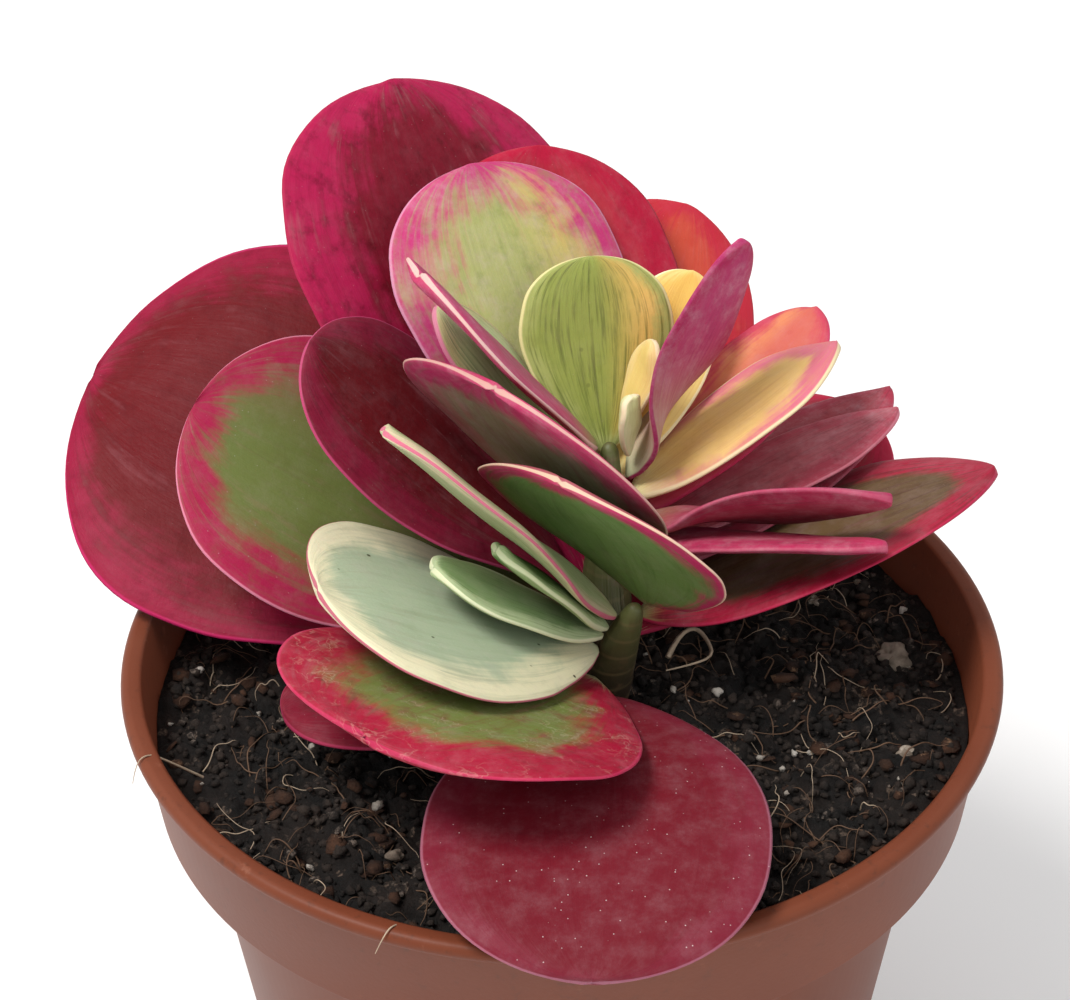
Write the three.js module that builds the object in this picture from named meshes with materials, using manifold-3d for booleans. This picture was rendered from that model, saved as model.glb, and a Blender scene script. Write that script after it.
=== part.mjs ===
// A paddle plant (a red-edged, flat-leaved kalanchoe) growing in a round plastic nursery pot.
// Millimetres, +Z up. The origin is the centre of the pot's flat base, on the surface it stands on.
// -Y is the front of the plant.
import * as THREE from "three";
import { mergeVertices } from "three/addons/utils/BufferGeometryUtils.js";
import Module from "manifold-3d";

// ---- Driving dimensions -------------------------------------------------------------------------
const POT = {
  rimRadius: 60, // outside of the rolled lip
  height: 95,
  baseRadius: 41,
  wall: 1.3,
  baseThickness: 1.6,
  lipHeight: 2.4,
  lipDepth: 1.6, // how far the lip stands out from the collar
  collarHeight: 18,
  collarDraft: 1.9, // the collar narrows by this much from the lip to its lower edge
  shoulder: 5, // step from the collar in to the tapering body
  segments: 48,
};
const DRAIN = { count: 8, radius: 3.5, circleRadius: 33, sides: 16 };
const SOIL = {
  belowRim: 9,
  crown: 1.5, // how much the middle stands higher than the edge
  lump: 1, // height of the unevenness
  rings: 6,
};
const FIT_GAP = 0.3; // between pieces that touch
const LEAF = {
  thickness: 2,
  baseAngle: 12, // where the stalk end cuts the egg-shaped outline, in degrees
  taper: 0.4, // 0 gives an ellipse, more makes the stalk half narrower
  waist: 1.5, // more than 1 narrows the stalk half further
  stations: 8,
  across: 4,
};
const STEM = { sides: 12 };

const deg = THREE.MathUtils.degToRad;
const wasm = await Module();
wasm.setup();

// ---- Solid helpers ------------------------------------------------------------------------------
function toSolid(geometry, matrix = new THREE.Matrix4()) {
  const bare = geometry.index ? geometry.toNonIndexed() : geometry.clone();
  const welded = mergeVertices(
    new THREE.BufferGeometry().setAttribute("position", bare.getAttribute("position")).applyMatrix4(matrix),
    1e-4,
  );
  return new wasm.Manifold(
    new wasm.Mesh({
      numProp: 3,
      vertProperties: welded.attributes.position.array,
      triVerts: new Uint32Array(welded.index.array),
    }),
  );
}

function toGeometry(solid) {
  const mesh = solid.getMesh();
  const points = new Float32Array(mesh.numVert * 3);
  for (let i = 0; i < mesh.numVert; i++) {
    points.set(mesh.vertProperties.subarray(i * mesh.numProp, i * mesh.numProp + 3), i * 3);
  }
  return new THREE.BufferGeometry()
    .setAttribute("position", new THREE.BufferAttribute(points, 3))
    .setIndex(new THREE.BufferAttribute(mesh.triVerts, 1));
}

// A closed profile of [radius, height] pairs, listed anticlockwise, turned about +Z.
function turned(profile, segments) {
  const points = profile.map(([r, z]) => new THREE.Vector2(r, z));
  return new THREE.LatheGeometry(points, segments).rotateX(Math.PI / 2);
}

function piece(name, geometry, color, roughness) {
  const material = new THREE.MeshStandardMaterial({ color, roughness, metalness: 0 });
  const mesh = new THREE.Mesh(geometry, material);
  mesh.name = name;
  return mesh;
}

// ---- Pot ----------------------------------------------------------------------------------------
const rimZ = POT.height;
const collarTop = rimZ - POT.lipHeight;
const collarBottom = rimZ - POT.collarHeight;
const collarRadius = POT.rimRadius - POT.lipDepth;
const collarLow = collarRadius - POT.collarDraft;
const bodyTop = collarLow - POT.shoulder;

// Inside radius of the pot at a height, for whatever fills it.
function potInside(z) {
  if (z >= collarBottom) {
    return THREE.MathUtils.mapLinear(z, collarBottom, collarTop, collarLow, collarRadius) - POT.wall;
  }
  return THREE.MathUtils.mapLinear(z, 0, collarBottom, POT.baseRadius, bodyTop) - POT.wall;
}

function makePot() {
  const shelf = collarBottom + POT.wall;
  const profile = [
    [0, 0],
    [POT.baseRadius, 0],
    [bodyTop, collarBottom],
    [collarLow, collarBottom],
    [collarRadius, collarTop],
    [POT.rimRadius, collarTop],
    [POT.rimRadius, rimZ - POT.lipHeight / 3],
    [POT.rimRadius - POT.lipDepth / 2, rimZ],
    [collarRadius - POT.wall, rimZ],
    [potInside(shelf), shelf],
    [bodyTop - POT.wall, shelf],
    [potInside(POT.baseThickness), POT.baseThickness],
    [0, POT.baseThickness],
  ];
  let pot = toSolid(turned(profile, POT.segments));
  for (let i = 0; i < DRAIN.count; i++) {
    const angle = (i + 0.5) * ((2 * Math.PI) / DRAIN.count);
    const cutter = new THREE.CylinderGeometry(DRAIN.radius, DRAIN.radius, POT.baseThickness * 4, DRAIN.sides);
    cutter.rotateX(Math.PI / 2);
    cutter.translate(DRAIN.circleRadius * Math.cos(angle), DRAIN.circleRadius * Math.sin(angle), 0);
    pot = pot.subtract(toSolid(cutter));
  }
  return pot;
}

// ---- Stem ---------------------------------------------------------------------------------------
// Branches rise from one crown in the soil. root: where the axis passes the soil's nominal surface.
const soilZ = rimZ - SOIL.belowRim;
const BRANCHES = {
  back: { root: [6, 4], heading: 84, lean: 16, length: 33, foot: 5, top: 1.6 },
  front: { root: [5, 0], heading: 316, lean: 20, length: 19, foot: 4.5, top: 1.6 },
};
const ROOT_DEPTH = 12;

for (const branch of Object.values(BRANCHES)) {
  const [x, y] = branch.root;
  branch.start = new THREE.Vector3(x, y, soilZ);
  branch.axis = new THREE.Vector3(
    Math.cos(deg(branch.heading)) * Math.sin(deg(branch.lean)),
    Math.sin(deg(branch.heading)) * Math.sin(deg(branch.lean)),
    Math.cos(deg(branch.lean)),
  );
}

const branchRadius = (branch, height) =>
  THREE.MathUtils.mapLinear(height, 0, branch.length, branch.foot, branch.top);

function branchSolid(branch, extra = 0) {
  const foot = branch.foot + extra;
  const profile = [
    [0, -ROOT_DEPTH - extra],
    [foot * 0.6, -ROOT_DEPTH - extra],
    [foot, 0],
    [branch.top + extra, branch.length],
    [(branch.top + extra) * 0.5, branch.length + branch.top * 0.8],
    [0, branch.length + branch.top],
  ];
  const turn = new THREE.Quaternion().setFromUnitVectors(new THREE.Vector3(0, 0, 1), branch.axis);
  const matrix = new THREE.Matrix4().compose(branch.start, turn, new THREE.Vector3(1, 1, 1));
  return toSolid(turned(profile, STEM.sides), matrix);
}

const stemSolid = (extra = 0) =>
  branchSolid(BRANCHES.back, extra).add(branchSolid(BRANCHES.front, extra));

// ---- Soil ---------------------------------------------------------------------------------------
// Smooth repeatable unevenness between -1 and 1.
const unevenness = (x, y) =>
  Math.sin(x * 0.19 + 1.3) * Math.cos(y * 0.23 - 0.4) * 0.6 + Math.sin(x * 0.41 - y * 0.37) * 0.4;

function makeSoil() {
  const edge = potInside(soilZ) - FIT_GAP;
  const shelf = collarBottom + POT.wall + FIT_GAP;
  const bottom = POT.baseThickness + FIT_GAP;
  const profile = [
    [0, bottom],
    [potInside(bottom) - FIT_GAP, bottom],
    [potInside(collarBottom - 1) - FIT_GAP, collarBottom],
    [bodyTop - POT.wall - FIT_GAP, shelf],
    [potInside(shelf) - FIT_GAP, shelf],
    [edge, soilZ - 0.8],
  ];
  for (let i = SOIL.rings; i > 0; i--) {
    profile.push([(edge - 0.4) * (i / SOIL.rings), soilZ]);
  }
  profile.push([0, soilZ]);
  const geometry = turned(profile, POT.segments);
  const at = geometry.getAttribute("position");
  for (let i = 0; i < at.count; i++) {
    const [x, y, z] = [at.getX(i), at.getY(i), at.getZ(i)];
    if (z > soilZ - 0.1) {
      const out = Math.hypot(x, y) / edge;
      at.setZ(i, z + SOIL.crown * (1 - out * out) + SOIL.lump * unevenness(x, y));
    }
  }
  return toSolid(geometry).subtract(stemSolid(FIT_GAP));
}

// ---- Leaves -------------------------------------------------------------------------------------
// A paddle leaf, built pointing along +X from its stalk end at the origin, adaxial face up.
// pitch: rise of the midrib at the stalk; bend: how much the pitch grows by the tip;
// roll: turn about the midrib, from the stalk to half way; cup: arc of the full width, margins up.
function leafRings(leaf) {
  const { length, width, pitch, bend, roll, cup } = leaf;
  const first = deg(LEAF.baseAngle);
  const span = 1 + Math.cos(first);
  const widest = 1 + LEAF.taper * LEAF.taper * 0.5;
  const curl = deg(cup) / width;
  const rings = [];
  const middle = new THREE.Vector3();
  let reached = 0;
  for (let i = 0; i < LEAF.stations; i++) {
    const angle = first + ((Math.PI - first) * i) / LEAF.stations;
    const along = (Math.cos(first) - Math.cos(angle)) / span;
    const step = (along - reached) * length;
    const midPitch = deg(pitch + (bend * (along + reached)) / 2);
    middle.add(new THREE.Vector3(Math.cos(midPitch), 0, Math.sin(midPitch)).multiplyScalar(step));
    reached = along;
    const here = deg(pitch + bend * along);
    const turn = deg(roll) * THREE.MathUtils.smoothstep(along, 0, 0.5);
    const tangent = new THREE.Vector3(Math.cos(here), 0, Math.sin(here));
    const normal = new THREE.Vector3(-Math.sin(here), 0, Math.cos(here)).applyAxisAngle(tangent, turn);
    const side = new THREE.Vector3(0, 1, 0).applyAxisAngle(tangent, turn);
    const swell = Math.sin(angle) ** (angle < Math.PI / 2 ? LEAF.waist : 1);
    const half = ((width / 2) * swell * (1 - LEAF.taper * Math.cos(angle))) / widest;
    const body = (LEAF.thickness / 2) * Math.min(1, 0.55 + Math.sin(angle));
    const ring = [];
    for (let j = 0; j < 2 * LEAF.across; j++) {
      const t = -Math.cos((Math.PI * j) / LEAF.across);
      const face = j === 0 || j === LEAF.across ? 0 : j < LEAF.across ? 1 : -1;
      const arc = t * half;
      const bow = curl * arc;
      const outward = Math.abs(bow) < 1e-6 ? arc : Math.sin(bow) / curl;
      const up = Math.abs(bow) < 1e-6 ? 0 : (1 - Math.cos(bow)) / curl;
      const lift = face * body * Math.sqrt(Math.max(0, 1 - t * t));
      ring.push(
        middle
          .clone()
          .addScaledVector(side, outward - Math.sin(bow) * lift)
          .addScaledVector(normal, up + Math.cos(bow) * lift),
      );
    }
    rings.push(ring);
  }
  const last = deg(pitch + bend * (1 + reached) * 0.5);
  const tip = middle
    .clone()
    .add(new THREE.Vector3(Math.cos(last), 0, Math.sin(last)).multiplyScalar((1 - reached) * length));
  return { rings, tip };
}

function leafGeometry({ rings, tip }) {
  const count = rings[0].length;
  const points = rings.flat();
  const base = points.push(rings[0].reduce((sum, p) => sum.add(p), new THREE.Vector3()).divideScalar(count)) - 1;
  const end = points.push(tip) - 1;
  const faces = [];
  for (let i = 0; i < rings.length; i++) {
    for (let j = 0; j < count; j++) {
      const a = i * count + j;
      const b = i * count + ((j + 1) % count);
      if (i === 0) faces.push(base, b, a);
      if (i === rings.length - 1) faces.push(a, b, end);
      else faces.push(a, b, a + count, b, b + count, a + count);
    }
  }
  const geometry = new THREE.BufferGeometry().setFromPoints(points);
  geometry.setIndex(faces.reverse());
  return geometry;
}

// Where a leaf's stalk end sits on its branch: just clear of the bark, in the leaf's own heading.
function seatOn(branch, height, heading, ring) {
  const turn = new THREE.Vector3(Math.cos(deg(heading)), Math.sin(deg(heading)), 0);
  const out = turn.clone().addScaledVector(branch.axis, -turn.dot(branch.axis)).normalize();
  const inner = Math.max(
    ...ring.map((p) => -p.clone().applyAxisAngle(new THREE.Vector3(0, 0, 1), deg(heading)).dot(out)),
  );
  return branch.start
    .clone()
    .addScaledVector(branch.axis, height)
    .addScaledVector(out, branchRadius(branch, height) + FIT_GAP + inner);
}

const CRIMSON = 0xa01c3c;
const DARK = 0x6e1a2c;
const RED = 0xb02a40;
const DUSTY = 0x8c3a48;
const ORANGE = 0xc8483a;
const ROSE = 0xb0405a;
const PINK = 0xc23a6a;
const BROWN = 0x8a5a4c;
const GREEN = 0x8a9a60;
const PALE = 0xb8c4a4;
const YELLOW = 0xd9b45c;

// [name, branch, height, heading, pitch, bend, roll, length, width, cup, colour]
const LEAVES = [
  ["left_green_leaf", "back", 8, 168, 32, -6, -22, 60, 44, 12, GREEN],
  ["cream_leaf", "front", 11, 199, 27, 2, 2, 43, 42, 12, PALE],
  ["front_dusty_leaf", "front", 5, 267, 30, -48, 0, 62, 44, 0, DUSTY],
  ["front_red_leaf", "front", 7, 233, 31, -12, 0, 52, 49, 12, RED],
  ["left_great_leaf", "back", 5, 155, 35, -34, -28, 80, 62, 0, CRIMSON],
  ["young_folded_leaf", "front", 20, 44, 117, 8, 6, 32, 45, 0, GREEN],
  ["young_upright_leaf", "front", 18, 190, 51, -4, 22, 45, 24, 0, PALE],
  ["fold_outer_leaf", "back", 23, 230, 63, -8, -4, 38, 48, -10, ROSE],
  ["upper_streaked_leaf", "back", 32, 98, 60, 0, 5, 27, 22, 20, GREEN],
  ["upper_pale_leaf", "back", 26, 120, 49, -5, 8, 49, 38, 0, PALE],
  ["upright_pink_leaf", "back", 29, 26, 62, 0, -66, 37, 20, 0, PINK],
  ["rear_great_leaf", "back", 12, 119, 43, 0, 16, 78, 56, 0, CRIMSON],
  ["rear_red_leaf", "back", 19, 101, 45, 0, 20, 57, 40, 0, CRIMSON],
  ["rear_orange_leaf", "back", 17, 76, 29, 0, 32, 57, 30, 0, ORANGE],
  ["right_great_leaf", "back", 9, 4, 25, -2, -12, 53, 38, 15, BROWN],
  ["golden_leaf", "back", 26, 24, 27, 0, -10, 36, 20, 20, YELLOW],
  ["left_dark_leaf", "back", 13, 169, 48, -5, -14, 51, 28, 0, DARK],
  ["upper_small_leaf", "back", 29, 163, 51, -5, -1, 32, 13, 0, PALE],
  ["right_pink_leaf", "back", 23, 340, 21, -4, -48, 38, 20, 0, PINK],
  ["right_rosy_leaf", "back", 21, 334, 15, 0, -24, 38, 16, 0, PINK],
  ["right_brown_leaf", "back", 19, 26, 12, 0, -10, 44, 18, 10, PINK],
  ["right_dark_leaf", "back", 14, 37, 13, 0, -8, 50, 24, 10, DARK],
  ["upright_yellow_leaf", "back", 28, 64, 38, 0, 24, 32, 14, 10, YELLOW],
  ["hidden_pink_leaf", "back", 22, 42, 26, 0, 0, 42, 18, 0, PINK],
  ["fold_inner_leaf", "back", 34, 206, 54, 0, 0, 42, 26, 0, ROSE],
  ["young_outer_leaf", "front", 13.5, 190, 32, 3, 10, 27, 16, 0, GREEN],
  ["young_inner_leaf", "front", 15.5, 194, 47, 0, 15, 22, 12, 0, GREEN],
  ["small_yellow_leaf", "back", 35, 42, 66, 0, -8, 14, 6, 0, YELLOW],
  ["upper_sliver_leaf", "back", 33, 330, 86, 0, 0, 10, 5, 0, YELLOW],
  ["low_dark_leaf", "front", 4, 200, 14, -10, 0, 42, 22, 0, DARK],
  ["back_right_leaf", "back", 5, 46, 15, 0, 8, 52, 30, 10, RED],
  ["back_low_leaf", "back", 10, 80, 13, 0, -8, 54, 34, 10, RED],
  ["back_left_leaf", "back", 5, 114, 12, 0, 0, 54, 34, 10, CRIMSON],
];

// Small moves tried in order of size, so that a leaf keeps clear of its neighbours.
const NUDGES = [];
for (let heading = -12; heading <= 12; heading += 4) {
  for (let pitch = -15; pitch <= 15; pitch += 3) {
    for (let roll = -24; roll <= 24; roll += 8) {
      for (let height = -4; height <= 4; height += 2) {
        const size = Math.hypot(heading / 4, pitch / 3, roll / 8, height / 2);
        NUDGES.push({ heading, pitch, roll, height, size });
      }
    }
  }
}
NUDGES.sort((a, b) => a.size - b.size);

const overlapsBox = (a, b) =>
  a.min.every((low, k) => low < b.max[k] + FIT_GAP && b.min[k] < a.max[k] + FIT_GAP);

function isClear(solid, placed) {
  const box = solid.boundingBox();
  return placed.every(
    (other) => !overlapsBox(box, other.boundingBox()) || solid.minGap(other, 2 * FIT_GAP) >= FIT_GAP * 0.9,
  );
}

// The row's leaf in place, moved as little as leaves FIT_GAP to everything placed before it.
function makeLeaf([name, branchName, height, heading, pitch, bend, roll, length, width, cup, color], placed) {
  const place = (nudge) => {
    const shape = leafRings({ length, width, pitch: pitch + nudge.pitch, bend, roll: roll + nudge.roll, cup });
    const facing = heading + nudge.heading;
    const geometry = leafGeometry(shape);
    geometry.rotateZ(deg(facing));
    const seat = seatOn(BRANCHES[branchName], height + nudge.height, facing, shape.rings[0]);
    return geometry.translate(seat.x, seat.y, seat.z);
  };
  for (const nudge of NUDGES) {
    const geometry = place(nudge);
    const solid = toSolid(geometry);
    if (isClear(solid, placed)) {
      placed.push(solid);
      return piece(name, geometry, color, 0.55);
    }
  }
  throw new Error(`${name} finds no place clear of the leaves before it`);
}

// ---- Assembly -----------------------------------------------------------------------------------
const plant = new THREE.Group();
const fixed = [makePot(), makeSoil(), stemSolid()];
plant.add(piece("nursery_pot", toGeometry(fixed[0]), 0x8a4a32, 0.5));
plant.add(piece("potting_soil", toGeometry(fixed[1]), 0x1d1714, 0.95));
plant.add(piece("branching_stem", toGeometry(fixed[2]), 0x7d8a55, 0.7));
LEAVES.forEach((row) => plant.add(makeLeaf(row, fixed)));

export default plant;
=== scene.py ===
# A red-edged paddle plant in a brown nursery pot, in metres, +Z up, with the front towards -Y.
import math
import random

import bmesh
import bpy
from mathutils import Matrix, Vector, noise


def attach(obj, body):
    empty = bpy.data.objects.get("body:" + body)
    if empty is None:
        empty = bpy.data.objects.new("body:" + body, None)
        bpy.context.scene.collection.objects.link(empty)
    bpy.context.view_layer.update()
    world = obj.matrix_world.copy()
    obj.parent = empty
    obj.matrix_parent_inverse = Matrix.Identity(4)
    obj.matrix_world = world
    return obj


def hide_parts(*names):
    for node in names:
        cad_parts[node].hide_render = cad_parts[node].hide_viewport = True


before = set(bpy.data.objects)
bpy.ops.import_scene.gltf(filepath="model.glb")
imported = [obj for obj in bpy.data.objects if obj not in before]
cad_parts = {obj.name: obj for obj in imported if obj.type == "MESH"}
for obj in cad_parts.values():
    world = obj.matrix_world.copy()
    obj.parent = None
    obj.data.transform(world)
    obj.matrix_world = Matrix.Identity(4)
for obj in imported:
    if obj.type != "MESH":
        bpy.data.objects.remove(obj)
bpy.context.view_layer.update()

# ---- Nursery pot --------------------------------------------------------------------------------
# A thin-walled round pot, injection moulded in terracotta-brown plastic: a tapering body, a taller
# collar that steps out from it, and a rolled lip. Eight drain holes pierce the base.
MM = 0.001


def paint(hexadecimal):
    """A display colour such as 8a4a32 as the linear colour that shaders take."""
    parts = [int(hexadecimal[i : i + 2], 16) / 255 for i in (0, 2, 4)]
    linear = [c / 12.92 if c <= 0.04045 else ((c + 0.055) / 1.055) ** 2.4 for c in parts]
    return (*linear, 1.0)


def smooth_object(name, bm, material):
    """The finished mesh as a smooth-shaded object at the origin."""
    mesh = bpy.data.meshes.new(name)
    bm.to_mesh(mesh)
    bm.free()
    for face in mesh.polygons:
        face.use_smooth = True
    mesh.materials.append(material)
    made = bpy.data.objects.new(name, mesh)
    bpy.context.scene.collection.objects.link(made)
    return made


def turned_shell(profile, steps):
    """A closed profile of (radius, height) in millimetres, spun about the pot's axis."""
    bm = bmesh.new()
    verts = [bm.verts.new((r * MM, 0, z * MM)) for r, z in profile]
    edges = [bm.edges.new(pair) for pair in zip(verts, verts[1:])]
    bmesh.ops.spin(
        bm, geom=verts + edges, axis=(0, 0, 1), cent=(0, 0, 0), angle=2 * math.pi, steps=steps,
        use_merge=True,
    )
    bmesh.ops.remove_doubles(bm, verts=bm.verts, dist=1e-6)
    bmesh.ops.recalc_face_normals(bm, faces=bm.faces)
    return bm


def arc(centre, radius, start, end, count):
    """Points on a circular arc in the profile's plane, angles in degrees."""
    turns = [math.radians(start + (end - start) * i / count) for i in range(count + 1)]
    return [(centre[0] + radius * math.cos(a), centre[1] + radius * math.sin(a)) for a in turns]


class Nodes:
    """Shorthands for wiring a node tree."""

    def __init__(self, tree):
        self.tree = tree

    def feed(self, socket, value):
        """A link or a plain value into a socket."""
        if isinstance(value, bpy.types.NodeSocket):
            self.tree.links.new(value, socket)
        else:
            socket.default_value = value

    def add(self, kind, **values):
        """A node with its settings and sockets given by name."""
        node = self.tree.nodes.new(kind)
        for key, value in values.items():
            if isinstance(value, bpy.types.NodeSocket) or not hasattr(node, key):
                self.feed(node.inputs[key], value)
            else:
                setattr(node, key, value)
        return node

    def math(self, operation, a, b=0.0):
        """The result of one sum."""
        node = self.tree.nodes.new("ShaderNodeMath")
        node.operation = operation
        for socket, value in zip(node.inputs, (a, b)):
            self.feed(socket, value)
        return node.outputs[0]

    def ramp(self, value, low, high, to_low=0.0, to_high=1.0):
        """A smooth step of value from low to high."""
        node = self.tree.nodes.new("ShaderNodeMapRange")
        node.interpolation_type = "SMOOTHSTEP"
        limits = {"From Min": low, "From Max": high, "To Min": to_low, "To Max": to_high}
        for key, item in {"Value": value, **limits}.items():
            self.feed(node.inputs[key], item)
        return node.outputs[0]

    def mix(self, factor, a, b):
        """Colour a turning to colour b as the factor goes from 0 to 1."""
        node = self.tree.nodes.new("ShaderNodeMix")
        node.data_type = "RGBA"
        # the mix node keeps its colour sockets after those for numbers and vectors
        for index, item in ((0, factor), (6, a), (7, b)):
            self.feed(node.inputs[index], item)
        return node.outputs[2]

    def noise(self, vector, scale, detail, roughness=0.55, distortion=0.0):
        """Fractal noise between 0 and 1, with about scale lumps to each unit of the vector."""
        return self.add(
            "ShaderNodeTexNoise", Vector=vector, Scale=scale, Detail=detail, Roughness=roughness,
            Distortion=distortion,
        ).outputs["Fac"]

    def place(self):
        """The point on the object, in metres."""
        return self.tree.nodes.new("ShaderNodeTexCoord").outputs["Object"]


def new_finish(name):
    """A material with a Principled BSDF, and its node helper."""
    material = bpy.data.materials.new(name)
    material.use_nodes = True
    return material, Nodes(material.node_tree), material.node_tree.nodes["Principled BSDF"]


def connect(nodes, shader, color, roughness, height, strength, distance):
    """Colour, roughness and bump onto the shader."""
    nodes.feed(shader.inputs["Base Color"], color)
    nodes.feed(shader.inputs["Roughness"], roughness)
    bump = nodes.add("ShaderNodeBump", Strength=strength, Distance=distance, Height=height)
    nodes.feed(shader.inputs["Normal"], bump.outputs["Normal"])


RIM_HEIGHT = 95.0
COLLAR_FOOT = 77.0
COLLAR_TOP = 92.6
pot_outline = [
    # the base and its rounded edge, up the outside of the tapering body
    (0, 0),
    (39.5, 0),
    *arc((40.0, 1.0), 1.0, -90, -5, 4),
    (51.2, COLLAR_FOOT - 0.4),
    # the step out, the collar and the rolled lip
    (51.6, COLLAR_FOOT),
    (56.1, COLLAR_FOOT),
    *arc((56.0, COLLAR_FOOT + 0.5), 0.5, -80, -5, 3),
    (58.25, COLLAR_TOP - 0.4),
    (58.6, COLLAR_TOP),
    (59.1, COLLAR_TOP),
    *arc((58.85, 93.9), 1.15, -60, 110, 14),
    # down the inside to the floor
    (57.6, 94.95),
    (57.1, 94.6),
    (55.25, 78.6),
    (54.9, 78.3),
    (50.3, 78.3),
    (50.0, 77.8),
    (40.1, 2.4),
    *arc((39.3, 2.4), 0.8, 0, -85, 4),
    (0, 1.6),
]
pot_plastic, n, shader = new_finish("pot_plastic")
spot = n.place()
height_on_pot = n.add("ShaderNodeSeparateXYZ", Vector=spot).outputs["Z"]
cloud = n.noise(spot, 28, 4)
grain = n.noise(spot, 1400, 2)
scuffs = n.ramp(n.noise(spot, 260, 5, 0.7), 0.62, 0.78)
dust = n.ramp(height_on_pot, 0.070, 0.096)
dusting = n.math("MULTIPLY", n.ramp(n.noise(spot, 620, 4, 0.7), 0.55, 0.72), dust)
body_color = n.mix(cloud, paint("5f2e1d"), paint("7b432e"))
body_color = n.mix(n.math("MULTIPLY", scuffs, 0.25), body_color, paint("b07a64"))
body_color = n.mix(n.math("MULTIPLY", dusting, 0.35), body_color, paint("3a2a22"))
worn = n.math("ADD", 0.36, n.math("MULTIPLY", cloud, 0.16))
connect(n, shader, body_color, n.math("ADD", worn, n.math("MULTIPLY", scuffs, 0.1)), grain, 0.12, 0.0002)
shader.inputs["Specular IOR Level"].default_value = 0.14

pot = smooth_object("moulded_pot", turned_shell(pot_outline, 180), pot_plastic)
HOLES, HOLE_RADIUS, HOLE_CIRCLE = 8, 3.5 * MM, 33 * MM
drills = bmesh.new()
for i in range(HOLES):
    turn = (i + 0.5) * 2 * math.pi / HOLES
    bmesh.ops.create_cone(
        drills, cap_ends=True, segments=32, radius1=HOLE_RADIUS, radius2=HOLE_RADIUS, depth=12 * MM,
        matrix=Matrix.Translation((HOLE_CIRCLE * math.cos(turn), HOLE_CIRCLE * math.sin(turn), 0)),
    )
drill = smooth_object("drill", drills, pot_plastic)
bore = pot.modifiers.new("drain holes", "BOOLEAN")
bore.object = drill
bore.solver = "EXACT"
bored = bpy.data.meshes.new_from_object(pot.evaluated_get(bpy.context.evaluated_depsgraph_get()))
pot.modifiers.clear()
pot.data = bored
bpy.data.objects.remove(drill)
crease = pot.modifiers.new("crisp corners", "EDGE_SPLIT")
crease.split_angle = math.radians(50)
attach(pot, "root")
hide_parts("nursery_pot")

# ---- Potting soil -------------------------------------------------------------------------------
# Damp peat compost filling the pot to 9 mm below the lip: nearly black crumbs with a slightly
# raised middle, packed against the wall all round.
SOIL_TOP = 86.0
SOIL_EDGE = 55.9
MOUND_RADIUS = 56
MOUND_RISE = 1.5


def soil_height(x, y):
    """Height of the soil surface in millimetres at a place in millimetres."""
    out = math.hypot(x, y) / MOUND_RADIUS
    broad = math.sin(x * 0.19 + 1.3) * math.cos(y * 0.23 - 0.4) * 0.6
    broad += math.sin(x * 0.41 - y * 0.37) * 0.4
    here = Vector((x, y, 0))
    clods = noise.fractal(here * 0.16, 1.0, 2.1, 3) * 1.5
    crumbs = (noise.cell(here * 0.6) - 0.5) * 0.5 + noise.fractal(here * 0.7, 0.8, 2.0, 3) * 0.9
    rough = min(1, (1 - out) * 8 + 0.35)
    return SOIL_TOP + MOUND_RISE * (1 - out * out) + broad + (clods + crumbs) * rough - 0.4


def soil_finish(name, dark, mid, light):
    """Crumbly matter: dark hollows, lighter crumbs, and a few pale chips."""
    material, n, shader = new_finish(name)
    spot = n.place()
    broad = n.noise(spot, 180, 5, 0.65)
    fine = n.noise(spot, 1300, 5, 0.75)
    chips = n.add("ShaderNodeTexVoronoi", Vector=spot, Scale=620.0).outputs["Color"]
    chip = n.add("ShaderNodeSeparateColor", Color=chips).outputs[0]
    color = n.mix(n.ramp(broad, 0.35, 0.7), paint(dark), paint(mid))
    flake = n.math("MULTIPLY", n.ramp(chip, 0.86, 0.97), n.ramp(fine, 0.45, 0.65))
    color = n.mix(flake, color, paint(light))
    height = n.math("ADD", n.math("MULTIPLY", fine, 0.8), n.math("MULTIPLY", chip, 0.4))
    connect(n, shader, color, n.ramp(fine, 0.3, 0.7, 0.62, 0.95), height, 0.9, 0.0008)
    shader.inputs["Specular IOR Level"].default_value = 0.3
    return material


soil_dark = soil_finish("damp_peat", "080605", "1f1713", "6a5a4e")
soil_outline = [(0, 1.9), (39.4, 1.9), (49.6, 76.0), (49.7, 78.7), (55.0, 78.9)]
soil_outline.append((SOIL_EDGE, SOIL_TOP - 1.2))
SURFACE_RINGS, SURFACE_SPOKES = 84, 260
for i in range(SURFACE_RINGS + 1):
    soil_outline.append((SOIL_EDGE * (SURFACE_RINGS - i) / SURFACE_RINGS, SOIL_TOP))
bm = turned_shell(soil_outline, SURFACE_SPOKES)
for vert in bm.verts:
    if vert.co.z > (SOIL_TOP - 0.2) * MM:
        vert.co.z = soil_height(vert.co.x / MM, vert.co.y / MM) * MM
soil = smooth_object("peat_surface", bm, soil_dark)
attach(soil, "root")
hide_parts("potting_soil")

# ---- Crumbs, bark and perlite in the soil ---------------------------------------------------------
# Loose peat crumbs and small chips of bark lie over the surface, with white perlite grains and a
# few pale pebbles among them.
chance = random.Random(11)
LOOSE_REACH = 54.5
HANDFUL = 50


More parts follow.
